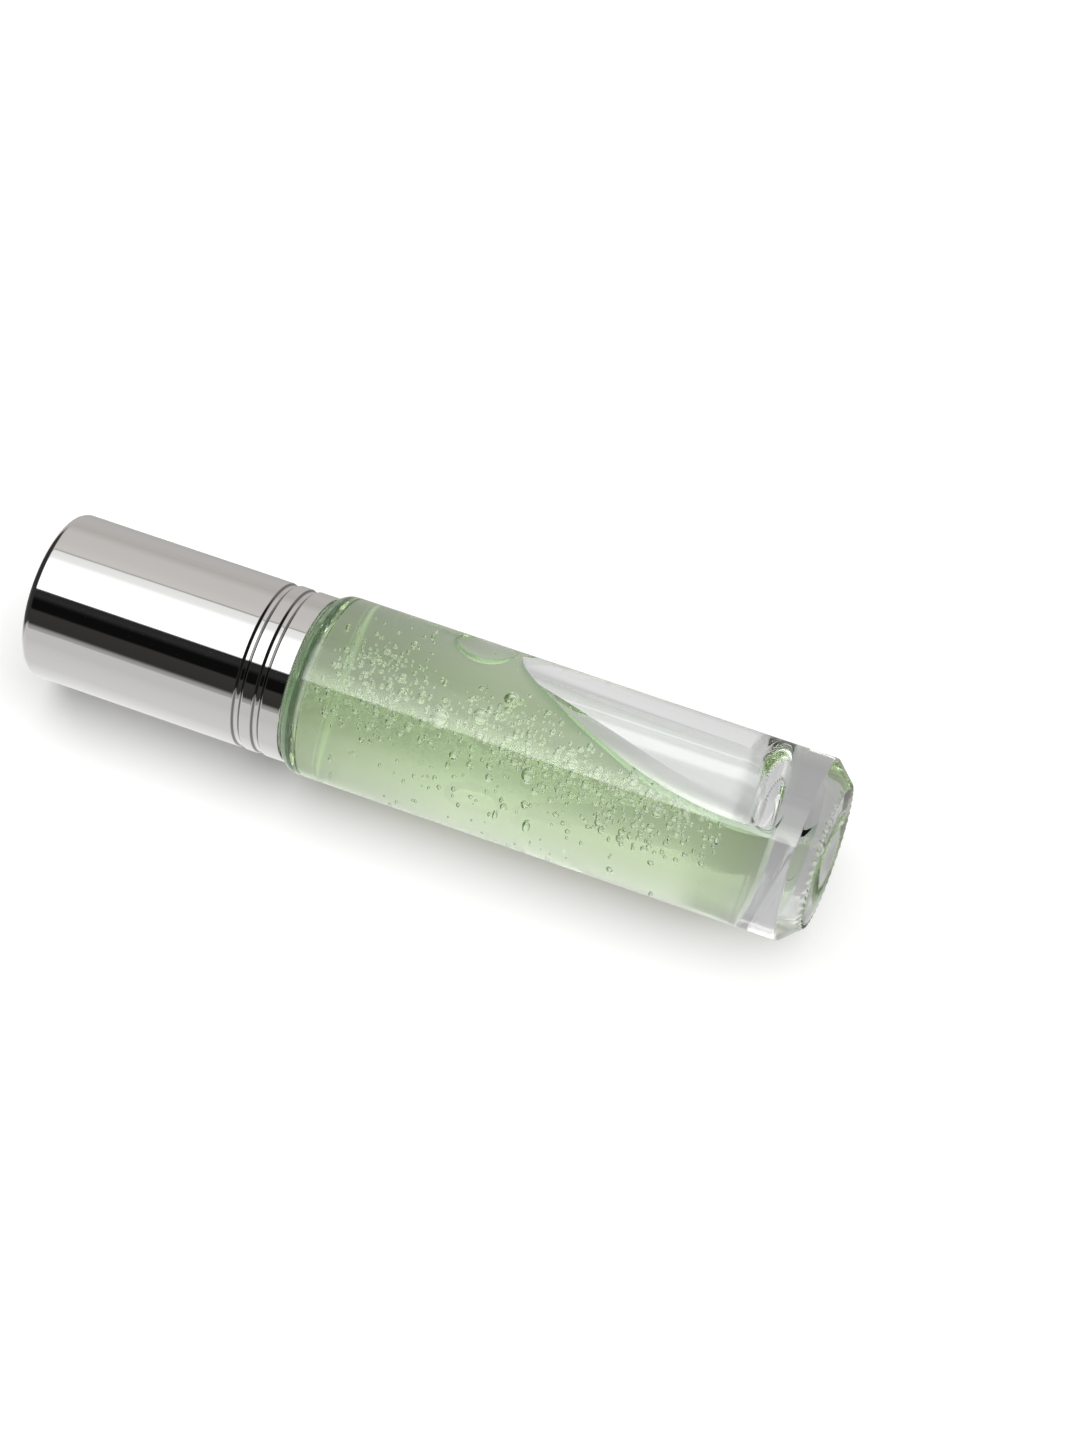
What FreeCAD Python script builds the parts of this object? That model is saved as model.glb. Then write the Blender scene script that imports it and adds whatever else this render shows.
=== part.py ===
"""A roll-on bottle that lies on its side: glass bottle, gel, ball in its housing, and a screw cap of two layers.

Each piece is drawn upright, about Z, with the bottle's base at height 0. It is then laid down, so that the cap points
along -X, the base along +X, and what was drawn along X points up. Sizes are in millimetres.
"""
import FreeCAD, Part
import math
import os
import Sketcher

SIZES = {
    # Glass body
    "body_diameter": 20.0,
    "body_height": 58.5,
    "body_wall": 1.9,
    "base_thickness": 5.5,
    "heel_width": 2.1,
    "heel_height": 2.2,
    "shoulder_round": 2.0,
    "shoulder_thickness": 2.0,
    "ceiling_round": 0.3,
    "cavity_round": 5.5,
    "pushup_diameter": 10.4,
    "pushup_depth": 0.9,
    # Knurled rim under the base
    "knurl_count": 48,
    "knurl_length": 0.5,
    "knurl_width": 0.5,
    "knurl_depth": 0.2,
    # Neck and its thread, which the cap shares
    "neck_diameter": 13.6,
    "neck_bore": 10.8,
    "bore_chamfer": 0.4,
    "neck_height": 10.7,
    "lip_round": 0.5,
    "thread_pitch": 3.0,
    "thread_turns": 1.5,
    "thread_height": 0.8,
    "thread_crest": 0.8,
    "thread_flank": 0.4,
    "thread_start": 3.1,
    "thread_play": 0.25,
    "thread_sink": 0.2,
    # Gel, its air pocket and a bubble beside the pocket
    "gel_clearance": 0.05,
    "pocket_tip": 37.0,
    "pocket_bend": 15.5,
    "pocket_level": 1.3,
    "pocket_round": 50.0,
    "bubble_place": 41.2,
    "bubble_length": 6.8,
    "bubble_width": 6.0,
    "bubble_depth": 2.0,
    # Ball and its housing
    "ball_diameter": 9.5,
    "ball_rise": 1.7,
    "ball_play": 0.1,
    "plug_length": 7.5,
    "plug_clearance": 0.25,
    "plug_wall": 1.0,
    "throat_diameter": 6.0,
    "throat_length": 1.0,
    "flange_diameter": 13.0,
    "flange_thickness": 1.0,
    "collar_diameter": 12.0,
    "collar_height": 2.4,
    "collar_chamfer": 0.6,
    "seal_rib_count": 2,
    "seal_rib_pitch": 2.5,
    "seal_rib_width": 0.8,
    "seal_rib_clearance": 0.02,
    # Outer cap
    "cap_diameter": 18.5,
    "cap_length": 30.4,
    "cap_overlap": 0.1,
    "cap_round": 1.0,
    "shell_wall": 0.4,
    "bead_count": 2,
    "bead_place": 2.73,
    "bead_pitch": 2.24,
    "bead_width": 1.0,
    "bead_depth": 0.3,
    # Inner cap
    "liner_clearance": 0.05,
    "liner_recess": 0.3,
    "liner_headroom": 0.1,
    "liner_wall": 1.0,
    "waist_height": 6.4,
    "roof_thickness": 1.5,
    "stay_count": 3,
    "stay_thickness": 1.0,
    "stay_headroom": 1.0,
    # Soft disc under the roof of the inner cap
    "pad_diameter": 10.0,
    "pad_thickness": 1.5,
    "pad_gap": 0.1,
    "pad_seat": 0.05,
    "pad_play": 0.15,
    "pad_rim_wall": 0.8,
    "pad_rim_height": 1.2,
}

doc = FreeCAD.newDocument("roll_on_bottle")
sheet = doc.addObject("Spreadsheet::Sheet", "Sizes")
for row, (alias, size) in enumerate(SIZES.items(), start=1):
    sheet.set(f"A{row}", alias)
    sheet.set(f"B{row}", str(size))
    sheet.setAlias(f"B{row}", alias)
doc.recompute()

# Radii and heights that several pieces share, as expressions over the sheet
BODY_RADIUS = "Sizes.body_diameter / 2"
CAVITY_RADIUS = f"({BODY_RADIUS} - Sizes.body_wall)"
CEILING = "(Sizes.body_height - Sizes.shoulder_thickness)"
NECK_RADIUS = "Sizes.neck_diameter / 2"
BORE_RADIUS = "Sizes.neck_bore / 2"
LIP = "(Sizes.body_height + Sizes.neck_height)"
BALL_CENTRE = f"({LIP} + Sizes.ball_rise)"
SOCKET_RADIUS = "(Sizes.ball_diameter / 2 + Sizes.ball_play)"
PLUG_RADIUS = f"({BORE_RADIUS} - Sizes.plug_clearance)"
PLUG_FOOT = f"({LIP} - Sizes.plug_length)"
MOUTH = "(Sizes.body_height - Sizes.cap_overlap)"
CAP_RADIUS = "Sizes.cap_diameter / 2"
CAP_TOP = f"({MOUTH} + Sizes.cap_length)"
SHELL_BORE = f"({CAP_RADIUS} - Sizes.shell_wall)"
CORE_RADIUS = f"({SHELL_BORE} - Sizes.liner_clearance)"
CORE_TOP = f"({CAP_TOP} - Sizes.shell_wall - Sizes.liner_headroom)"
THREAD_BORE = f"({NECK_RADIUS} + Sizes.thread_height + Sizes.thread_play)"
PAD_FOOT = f"({BALL_CENTRE} + Sizes.ball_diameter / 2 + Sizes.pad_gap)"
ROOF = f"({PAD_FOOT} + Sizes.pad_thickness + Sizes.pad_seat)"
ROOF_TOP = f"({ROOF} + Sizes.roof_thickness)"
THREAD_FOOT = "(Sizes.body_height + Sizes.thread_start)"


def number(expression):
    """The value that an expression over the sheet has now."""
    return float(sheet.evalExpression(expression))


def new_body(name):
    """An empty piece, laid down with its base towards +X and its axis at the height of the glass's radius."""
    body = doc.addObject("PartDesign::Body", name)
    body.Label = name
    laid_down = FreeCAD.Rotation(FreeCAD.Vector(0, 1, 0), -90)
    body.Placement = FreeCAD.Placement(FreeCAD.Vector(0, 0, 0), laid_down)
    body.setExpression("Placement.Base.x", f"{CAP_TOP} / 2")
    body.setExpression("Placement.Base.z", BODY_RADIUS)
    return body


def new_sketch(body, name, plane="XZ_Plane"):
    sketch = body.newObject("Sketcher::SketchObject", name)
    support = next(f for f in body.Origin.OriginFeatures if f.Role == plane)
    sketch.AttachmentSupport = [(support, "")]
    sketch.MapMode = "FlatFace"
    return sketch


def hold(sketch, kind, side, expression):
    """Holds the start of one side at a distance from the sketch's origin."""
    if expression == "0":
        axis = {"DistanceX": -2, "DistanceY": -1}[kind]
        sketch.addConstraint(Sketcher.Constraint("PointOnObject", side, 1, axis))
        return
    index = sketch.addConstraint(Sketcher.Constraint(kind, -1, 1, side, 1, number(expression)))
    sketch.setExpression(f"Constraints[{index}]", expression)


def arc_between(start, end, radius):
    """An arc under a half circle, which bulges to the right of the way from start to end."""
    chord = end - start
    right = FreeCAD.Vector(chord.y, -chord.x, 0).normalize()
    half = chord.Length / 2
    rise = radius - math.sqrt(max(radius**2 - half**2, 0.0))
    return Part.Arc(start, start + chord * 0.5 + right * rise, end)


def outline(sketch, corners):
    """Draws a closed outline, anticlockwise. A corner is (x, y), or (x, y, radius) where an arc runs to the next."""
    points = [FreeCAD.Vector(number(corner[0]), number(corner[1]), 0) for corner in corners]
    ends = points[1:] + points[:1]
    arcs = {side: corner[2] for side, corner in enumerate(corners) if len(corner) == 3}
    for side, (start, end) in enumerate(zip(points, ends)):
        if side in arcs:
            sketch.addGeometry(arc_between(start, end, number(arcs[side])))
        else:
            sketch.addGeometry(Part.LineSegment(start, end))
    for side in range(len(points)):
        following = (side + 1) % len(points)
        sketch.addConstraint(Sketcher.Constraint("Coincident", side, 2, following, 1))
    for side, corner in enumerate(corners):
        hold(sketch, "DistanceX", side, corner[0])
        hold(sketch, "DistanceY", side, corner[1])
    for side, radius in arcs.items():
        index = sketch.addConstraint(Sketcher.Constraint("Radius", side, number(radius)))
        sketch.setExpression(f"Constraints[{index}]", radius)


def turned(body, name, corners, kind="Revolution"):
    """Turns an outline of radii and heights about the piece's axis, as a solid or, as a Groove, a cut."""
    sketch = new_sketch(body, f"{name}_outline")
    outline(sketch, corners)
    feature = body.newObject(f"PartDesign::{kind}", name)
    feature.Profile = sketch
    feature.ReferenceAxis = (sketch, ["V_Axis"])
    feature.Angle = 360
    return feature


def sphere(body, name, kind, radius, height):
    """A ball on the piece's axis, added or taken away."""
    feature = body.newObject(f"PartDesign::{kind}Sphere", name)
    feature.setExpression("Radius", radius)
    feature.setExpression("Placement.Base.z", height)
    return feature


def thread(body, name, root, crest, middle):
    """A ridge that winds upwards from the given height, its root sunk into the wall that carries it."""
    half_crest = "Sizes.thread_crest / 2"
    half_root = f"({half_crest} + Sizes.thread_flank)"
    corners = [
        (root, f"{middle} - {half_root}"),
        (crest, f"{middle} - {half_crest}"),
        (crest, f"{middle} + {half_crest}"),
        (root, f"{middle} + {half_root}"),
    ]
    sketch = new_sketch(body, f"{name}_outline")
    outline(sketch, corners)
    helix = body.newObject("PartDesign::AdditiveHelix", name)
    helix.Profile = sketch
    helix.ReferenceAxis = (sketch, ["V_Axis"])
    helix.Mode = "pitch-turns-angle"
    helix.setExpression("Pitch", "Sizes.thread_pitch")
    helix.setExpression("Turns", "Sizes.thread_turns")
    return helix


def around(body, name, feature, count, sweep):
    """Copies a feature that was drawn on the base plane about the piece's axis, over a sweep in degrees."""
    pattern = body.newObject("PartDesign::PolarPattern", name)
    pattern.Originals = [feature]
    pattern.Axis = (feature.Profile[0], ["N_Axis"])
    pattern.setExpression("Angle", sweep)
    pattern.setExpression("Occurrences", count)
    body.Tip = pattern


def stacked(body, name, feature, count, pitch):
    """Copies a turned feature up the piece's axis."""
    pattern = body.newObject("PartDesign::LinearPattern", name)
    pattern.Originals = [feature]
    pattern.Direction = (feature.Profile[0], ["V_Axis"])
    pattern.Mode = "Spacing"
    pattern.setExpression("Offset", pitch)
    pattern.setExpression("Occurrences", count)
    body.Tip = pattern


def cavity(inset):
    """The bottle's inside from the middle of its floor to the edge of its ceiling, drawn in by an inset."""
    radius = f"({CAVITY_RADIUS} - {inset})"
    floor = f"(Sizes.base_thickness + {inset})"
    corner = f"(Sizes.cavity_round - {inset})"
    ceiling = f"({CEILING} - {inset})"
    ceiling_corner = f"(Sizes.ceiling_round - {inset})"
    return [
        ("0", floor),
        (f"{radius} - {corner}", floor, corner),
        (radius, f"{floor} + {corner}"),
        (radius, f"{ceiling} - {ceiling_corner}", ceiling_corner),
        (f"{radius} - {ceiling_corner}", ceiling),
    ]


def make_glass_bottle():
    body = new_body("glass_bottle")
    bearing_radius = f"({BODY_RADIUS} - Sizes.heel_width)"
    turned(body, "glass", [
        ("0", "0"),
        (bearing_radius, "0"),
        (BODY_RADIUS, "Sizes.heel_height"),
        (BODY_RADIUS, "Sizes.body_height - Sizes.shoulder_round", "Sizes.shoulder_round"),
        (f"{BODY_RADIUS} - Sizes.shoulder_round", "Sizes.body_height"),
        (NECK_RADIUS, "Sizes.body_height"),
        (NECK_RADIUS, f"{LIP} - Sizes.lip_round", "Sizes.lip_round"),
        (f"{NECK_RADIUS} - Sizes.lip_round", LIP),
        ("0", LIP),
    ])
    turned(body, "cavity", cavity("0") + [
        (f"{BORE_RADIUS} + Sizes.bore_chamfer", CEILING),
        (BORE_RADIUS, f"{CEILING} + Sizes.bore_chamfer"),
        (BORE_RADIUS, LIP),
        ("0", LIP),
    ], "Groove")
    pushup_radius = "((Sizes.pushup_diameter / 2) ^ 2 + Sizes.pushup_depth ^ 2) / (2 * Sizes.pushup_depth)"
    sphere(body, "pushup", "Subtractive", pushup_radius, f"Sizes.pushup_depth - {pushup_radius}")
    root = f"{NECK_RADIUS} - Sizes.thread_sink"
    thread(body, "neck_thread", root, f"{NECK_RADIUS} + Sizes.thread_height", THREAD_FOOT)
    notch_sketch = new_sketch(body, "knurl_outline", "XY_Plane")
    half_notch = "Sizes.knurl_width / 2"
    outline(notch_sketch, [
        (f"{bearing_radius} - Sizes.knurl_length", f"-{half_notch}"),
        (BODY_RADIUS, f"-{half_notch}"),
        (BODY_RADIUS, half_notch),
        (f"{bearing_radius} - Sizes.knurl_length", half_notch),
    ])
    notch = body.newObject("PartDesign::Pocket", "knurl")
    notch.Profile = notch_sketch
    notch.Reversed = True
    notch.setExpression("Length", "Sizes.knurl_depth")
    doc.recompute()
    around(body, "knurls", notch, "Sizes.knurl_count", "360")
    return body


def make_gel_fill():
    body = new_body("gel_fill")
    gel_top = f"{CEILING} - Sizes.gel_clearance"
    turned(body, "gel", cavity("Sizes.gel_clearance") + [("0", gel_top)])
    # The gel's free surface runs level near the base, then bends and rises to meet the glass. The pocket is straight
    # up, where it comes to rest, so that the bottle's weight lies under its axis and it doesn't roll
    pocket_sketch = new_sketch(body, "pocket_outline")
    run = "(Sizes.pocket_tip - Sizes.pocket_bend)"
    climb = f"({CAVITY_RADIUS} - Sizes.pocket_level)"
    slope = f"hypot({run}; {climb})"
    tangent = f"(Sizes.pocket_round * ({slope} - {run}) / {climb})"
    outline(pocket_sketch, [
        ("Sizes.pocket_level", "0"),
        (BODY_RADIUS, "0"),
        (BODY_RADIUS, f"Sizes.pocket_tip + {run} * ({BODY_RADIUS} - {CAVITY_RADIUS}) / {climb}"),
        (
            f"Sizes.pocket_level + {tangent} * {climb} / {slope}",
            f"Sizes.pocket_bend + {tangent} * {run} / {slope}",
            "Sizes.pocket_round",
        ),
        ("Sizes.pocket_level", f"Sizes.pocket_bend - {tangent}"),
    ])
    pocket = body.newObject("PartDesign::Pocket", "pocket")
    pocket.Profile = pocket_sketch
    pocket.Midplane = True
    pocket.setExpression("Length", "Sizes.body_diameter")
    bubble = body.newObject("PartDesign::SubtractiveEllipsoid", "bubble")
    bubble.setExpression("Radius1", "Sizes.bubble_length / 2")
    bubble.setExpression("Radius2", "Sizes.bubble_depth")
    bubble.setExpression("Radius3", "Sizes.bubble_width / 2")
    bubble.setExpression("Placement.Base.x", CAVITY_RADIUS)
    bubble.setExpression("Placement.Base.z", "Sizes.bubble_place")
    return body


def make_roller_ball():
    body = new_body("roller_ball")
    sphere(body, "ball", "Additive", "Sizes.ball_diameter / 2", BALL_CENTRE)
    return body


def make_ball_housing():
    body = new_body("ball_housing")
    throat = "Sizes.throat_diameter / 2"
    throat_foot = f"({BALL_CENTRE} - sqrt({SOCKET_RADIUS} ^ 2 - ({throat}) ^ 2) - Sizes.throat_length)"
    plug_bore = f"({PLUG_RADIUS} - Sizes.plug_wall)"
    flange_top = f"({LIP} + Sizes.flange_thickness)"
    collar_top = f"({flange_top} + Sizes.collar_height)"
    collar = "Sizes.collar_diameter / 2"
    turned(body, "housing", [
        (plug_bore, PLUG_FOOT),
        (PLUG_RADIUS, PLUG_FOOT),
        (PLUG_RADIUS, LIP),
        ("Sizes.flange_diameter / 2", LIP),
        ("Sizes.flange_diameter / 2", flange_top),
        (collar, flange_top),
        (collar, f"{collar_top} - Sizes.collar_chamfer"),
        (f"{collar} - Sizes.collar_chamfer", collar_top),
        (throat, collar_top),
        (throat, throat_foot),
        (plug_bore, throat_foot),
    ])
    sphere(body, "socket", "Subtractive", SOCKET_RADIUS, BALL_CENTRE)
    rib_radius = f"({BORE_RADIUS} - Sizes.seal_rib_clearance)"
    rib_root = f"({PLUG_RADIUS} - Sizes.plug_wall / 4)"
    rib_place = f"({PLUG_FOOT} + Sizes.seal_rib_pitch / 2)"
    rib = turned(body, "seal_rib", [
        (rib_root, f"{rib_place} - Sizes.seal_rib_width / 2"),
        (PLUG_RADIUS, f"{rib_place} - Sizes.seal_rib_width / 2"),
        (rib_radius, rib_place),
        (PLUG_RADIUS, f"{rib_place} + Sizes.seal_rib_width / 2"),
        (rib_root, f"{rib_place} + Sizes.seal_rib_width / 2"),
    ])
    doc.recompute()
    stacked(body, "seal_ribs", rib, "Sizes.seal_rib_count", "Sizes.seal_rib_pitch")
    return body


def bead(body, name, surface, kind):
    """One rolled groove in a surface of the shell, or the ridge that it raises on the inside."""
    middle = f"({MOUTH} + Sizes.bead_place)"
    floor = f"({surface} - Sizes.bead_depth)"
    back = surface if kind == "Groove" else f"({surface} + Sizes.shell_wall / 4)"
    half_mouth = "Sizes.bead_width / 2"
    half_floor = "Sizes.bead_width / 6"
    return turned(body, name, [
        (floor, f"{middle} - {half_floor}"),
        (back, f"{middle} - {half_mouth}"),
        (back, f"{middle} + {half_mouth}"),
        (floor, f"{middle} + {half_floor}"),
    ], kind)


def make_cap_shell():
    body = new_body("cap_shell")
    inner_chamfer = "(Sizes.cap_round - Sizes.shell_wall)"
    ceiling = f"({CAP_TOP} - Sizes.shell_wall)"
    turned(body, "shell", [
        (SHELL_BORE, MOUTH),
        (CAP_RADIUS, MOUTH),
        (CAP_RADIUS, f"{CAP_TOP} - Sizes.cap_round", "Sizes.cap_round"),
        (f"{CAP_RADIUS} - Sizes.cap_round", CAP_TOP),
        ("0", CAP_TOP),
        ("0", ceiling),
        (f"{SHELL_BORE} - {inner_chamfer}", ceiling),
        (SHELL_BORE, f"{ceiling} - {inner_chamfer}"),
    ])
    ridge = bead(body, "bead_ridge", SHELL_BORE, "Revolution")
    doc.recompute()
    stacked(body, "bead_ridges", ridge, "Sizes.bead_count", "Sizes.bead_pitch")
    groove = bead(body, "bead_groove", CAP_RADIUS, "Groove")
    doc.recompute()
    stacked(body, "bead_grooves", groove, "Sizes.bead_count", "Sizes.bead_pitch")
    return body


def make_cap_liner():
    body = new_body("cap_liner")
    foot = f"({MOUTH} + Sizes.liner_recess)"
    waist = f"({CORE_RADIUS} - Sizes.bead_depth)"
    waist_top = f"({MOUTH} + Sizes.waist_height)"
    top_chamfer = "(Sizes.cap_round - Sizes.shell_wall)"
    upper_bore = f"({CORE_RADIUS} - Sizes.liner_wall)"
    turned(body, "liner", [
        (THREAD_BORE, foot),
        (waist, foot),
        (waist, waist_top),
        (CORE_RADIUS, waist_top),
        (CORE_RADIUS, f"{CORE_TOP} - {top_chamfer}"),
        (f"{CORE_RADIUS} - {top_chamfer}", CORE_TOP),
        (upper_bore, CORE_TOP),
        (upper_bore, ROOF_TOP),
        ("0", ROOF_TOP),
        ("0", ROOF),
        (THREAD_BORE, ROOF),
    ])
    rim_bore = "(Sizes.pad_diameter / 2 + Sizes.pad_play)"
    rim_foot = f"({ROOF} - Sizes.pad_rim_height)"
    turned(body, "pad_rim", [
        (rim_bore, rim_foot),
        (f"{rim_bore} + Sizes.pad_rim_wall", rim_foot),
        (f"{rim_bore} + Sizes.pad_rim_wall", ROOF),
        (rim_bore, ROOF),
    ])
    root = f"{THREAD_BORE} + Sizes.thread_sink"
    crest = f"{NECK_RADIUS} + Sizes.thread_play"
    thread(body, "cap_thread", root, crest, f"({THREAD_FOOT} - Sizes.thread_pitch / 2)")
    # Upright stays above the roof keep the thin shell round
    stay_sketch = new_sketch(body, "stay_outline", "XY_Plane")
    stay_sketch.setExpression("AttachmentOffset.Base.z", ROOF_TOP)
    half_stay = "Sizes.stay_thickness / 2"
    reach = f"({upper_bore} + Sizes.liner_wall / 4)"
    outline(stay_sketch, [
        (f"-{reach}", f"-{half_stay}"),
        (reach, f"-{half_stay}"),
        (reach, half_stay),
        (f"-{reach}", half_stay),
    ])
    stay = body.newObject("PartDesign::Pad", "stay")
    stay.Profile = stay_sketch
    stay.setExpression("Length", f"{CORE_TOP} - {ROOF_TOP} - Sizes.stay_headroom")
    doc.recompute()
    around(body, "stays", stay, "Sizes.stay_count", "180 * (1 - 1 / Sizes.stay_count)")
    return body


def make_seal_pad():
    body = new_body("seal_pad")
    disc = body.newObject("PartDesign::AdditiveCylinder", "disc")
    disc.setExpression("Radius", "Sizes.pad_diameter / 2")
    disc.setExpression("Height", "Sizes.pad_thickness")
    disc.setExpression("Placement.Base.z", PAD_FOOT)
    return body


pieces = [
    make_glass_bottle(),
    make_gel_fill(),
    make_roller_ball(),
    make_ball_housing(),
    make_cap_shell(),
    make_cap_liner(),
    make_seal_pad(),
]
doc.recompute()

for item in doc.Objects:
    if {"Invalid", "Error"} & set(item.State):
        raise RuntimeError(f"{item.Name} failed: {item.State}")
for piece in pieces:
    if piece.Shape.isNull() or not piece.Shape.isValid() or len(piece.Shape.Solids) != 1:
        raise RuntimeError(f"{piece.Label} is not one valid solid")

os.makedirs("parts", exist_ok=True)
for piece in pieces:
    piece.Shape.exportStep(f"parts/{piece.Label}.step")
    box = piece.Shape.BoundBox
    corners = [box.XMin, box.YMin, box.ZMin, box.XMax, box.YMax, box.ZMax]
    print(piece.Label, round(piece.Shape.Volume, 2), [round(corner, 3) for corner in corners])
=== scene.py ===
"""A roll-on bottle on a pale table: clear glass, green gel with an air pocket and bubbles, and a metal cap.

Blender works in metres. The bottle lies along X with its base towards +X, and its axis is a radius above the
table. Its pieces are drawn in millimetres, by radius and by height above the base, as if the bottle stood
upright. An angle about the axis is 0 straight up from the table and a quarter turn towards +Y.
"""
import math
import random

import bmesh
import bpy
from mathutils import Matrix, Vector


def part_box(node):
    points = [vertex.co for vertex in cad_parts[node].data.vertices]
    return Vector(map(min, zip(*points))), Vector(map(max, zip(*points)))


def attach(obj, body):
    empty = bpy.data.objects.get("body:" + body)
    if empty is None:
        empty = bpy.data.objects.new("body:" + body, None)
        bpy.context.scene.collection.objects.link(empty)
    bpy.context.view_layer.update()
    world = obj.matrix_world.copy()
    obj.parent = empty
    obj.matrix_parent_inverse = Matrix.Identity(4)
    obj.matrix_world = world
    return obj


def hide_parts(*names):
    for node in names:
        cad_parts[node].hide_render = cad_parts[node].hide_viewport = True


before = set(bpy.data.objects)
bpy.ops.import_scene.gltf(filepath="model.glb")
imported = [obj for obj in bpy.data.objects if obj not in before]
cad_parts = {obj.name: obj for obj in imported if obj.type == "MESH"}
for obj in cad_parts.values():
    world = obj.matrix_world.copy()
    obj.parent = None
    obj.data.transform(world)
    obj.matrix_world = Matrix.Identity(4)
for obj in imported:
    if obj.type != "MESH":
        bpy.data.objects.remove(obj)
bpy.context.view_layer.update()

MM = 0.001
TURN = 2 * math.pi

glass_low, glass_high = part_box("glass_bottle")
BASE_X = glass_high.x
AXIS_Z = (glass_low.z + glass_high.z) / 2

# Glass, in millimetres
BODY_RADIUS = 10.0
BODY_HEIGHT = 58.5
BEARING_RADIUS = 7.9
HEEL_HEIGHT = 2.2
EDGE_ROUND = 0.35
BODY_START = 1.0
SHOULDER_ROUND = 2.0
SHOULDER_FOOT = BODY_HEIGHT - SHOULDER_ROUND
PUSHUP_RADIUS = 5.2
PUSHUP_DEPTH = 0.9
KNURL_COUNT = 48
KNURL_DEPTH = 0.2
KNURL_INNER = 7.45
KNURL_OUTER = 8.1
KNURL_FADE = 0.2
RING_GAP = 0.2
NECK_RADIUS = 6.8
NECK_FILLET = 0.4
LIP_HEIGHT = 69.2
LIP_ROUND = 0.5
BORE_RADIUS = 5.4
BORE_EDGE = 0.4
CAVITY_RADIUS = 8.1
CAVITY_FLOOR = 5.5
CAVITY_ROUND = 5.5
CEILING = 56.5
CEILING_ROUND = 0.3
THREAD_FOOT = 61.6
THREAD_PITCH = 3.0
THREAD_TURNS = 1.5
THREAD_RISE = 0.8
THREAD_HALF_CREST = 0.4
THREAD_HALF_ROOT = 0.8
THREAD_RUNOUT = math.radians(25)

# Where the glass changes its look, in millimetres: the painted dark green shade of the shoulder sets in over
# a fade, a painted pale highlight line runs below it, the ends of the cavity reach into its walls, and a band
# of painted shade follows the pocket's shores
SHOULDER_FADE = 0.3
SHOULDER_LINE_WIDTH = 0.32
END_CORE = 2.0
END_REACH = 6.0
SHORE_PAINTED_BAND = 1.5

# Gel, in millimetres
GEL_CLEARANCE = 0.05
GEL_RIM = 0.05
POCKET_LEAN = math.radians(52)
POCKET_TIP = 37.0
POCKET_BEND = 15.5
POCKET_LEVEL = 1.3
POCKET_ROUND = 50.0
BUBBLE_PLACE = 41.2
BUBBLE_HALF_LENGTH = 3.4
BUBBLE_HALF_WIDTH = 3.0
BUBBLE_DEPTH = 2.0
MENISCUS_CLIMB = 1.5
MENISCUS_REACH = 1.8
MENISCUS_SHARE = 0.6
SHORE_CROWDING = 1.7

# Swarms of small bubbles: height and its spread, angle about the axis in degrees and its spread, how many,
# and the smallest and largest radius
BUBBLE_SWARMS = (
    (50.5, 2.8, -8, 20, 230, 0.17, 0.42),
    (50.0, 3.0, -42, 12, 80, 0.18, 0.45),
    (43.5, 4.0, -26, 14, 120, 0.16, 0.45),
    (38.5, 2.4, -20, 14, 22, 0.35, 0.70),
    (32.0, 5.0, -28, 9, 150, 0.18, 0.55),
    (21.0, 6.0, -33, 8, 190, 0.22, 0.48),
    (19.5, 5.0, -54, 12, 200, 0.24, 0.42),
    (32.0, 12.0, -72, 26, 70, 0.14, 0.30),
    (34.0, 12.0, 160, 70, 60, 0.12, 0.40),
    (34.5, 3.4, -6, 8, 90, 0.14, 0.38),
)

# Single large bubbles: height, angle about the axis in degrees, and radius
LARGE_BUBBLES = ((38.0, -15, 0.95), (36.0, 14, 0.75), (42.1, -27, 1.05), (31.3, -47, 0.85), (29.0, -24, 0.7))

# How bubbles are strewn: most are small and near the wall, and each is stretched and dented a little
BUBBLE_SEED = 7
BUBBLE_SKEW = 2.5
BUBBLE_LEAST_DEPTH = 0.15
BUBBLE_MEAN_DEPTH = 0.5
BUBBLE_MOST_DEPTH = 7.0
BUBBLE_ROOM = 0.1
BUBBLE_END_ROOM = 1.0
BUBBLE_STRETCH = (0.7, 1.25)
BUBBLE_WAVES = 1.6
BUBBLE_DENT = 0.22
FINE_BUBBLE = 0.4

# Cap, in millimetres. A groove's flanks, which carry painted shade, are what is steeper than the gentle slope
CAP_RADIUS = 9.25
CAP_MOUTH = 58.4
CAP_TOP = 88.8
CAP_ROUND = 1.0
SHELL_WALL = 0.4
BEAD_HEIGHTS = (61.13, 63.37)
BEAD_HALF_FLOOR = 0.12
BEAD_HALF_MOUTH = 0.6
BEAD_DEPTH = 0.3
BEAD_MARGIN = 1.5
BEAD_ROW = 0.04
FLANK_GENTLE = 0.55
FLANK_STEEP = 0.9

# Refraction and tint, and colours of painted shade, glow and highlights
GLASS_IOR = 1.5
GEL_IOR = 1.35
GEL_COLOUR = (0.444, 0.733, 0.089, 1)
GEL_DENSITY = 45.0
BLACK = (0, 0, 0, 1)
WHITE = (1, 1, 1, 1)
CLEAR_TINT = (0.985, 0.995, 0.988, 1)
# Painted shade, painted glow and a painted pale highlight line at the shoulder's rounding
SHOULDER_PAINTED_SHADE = (0.07, 0.11, 0.055, 1)
SHOULDER_PAINTED_GLOW = (0.04, 0.075, 0.035, 1)
SHOULDER_PAINTED_HIGHLIGHT = (0.21, 0.29, 0.16, 1)
# Painted shade along the pocket's shores
SHORE_PAINTED_SHADE = (0.52, 0.69, 0.58, 1)
CAP_BRIGHT = (0.93, 0.925, 0.915, 1)
# Painted shade on the steep flanks of the cap's grooves
GROOVE_PAINTED_SHADE = (0.27, 0.26, 0.25, 1)

# What light keeps of its colour where it passes a surface of glass or gel on its way to a shadow
GLASS_SHADE = (0.82, 0.82, 0.81, 1)
GEL_SHADE = (0.94, 0.90, 0.96, 1)

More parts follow.
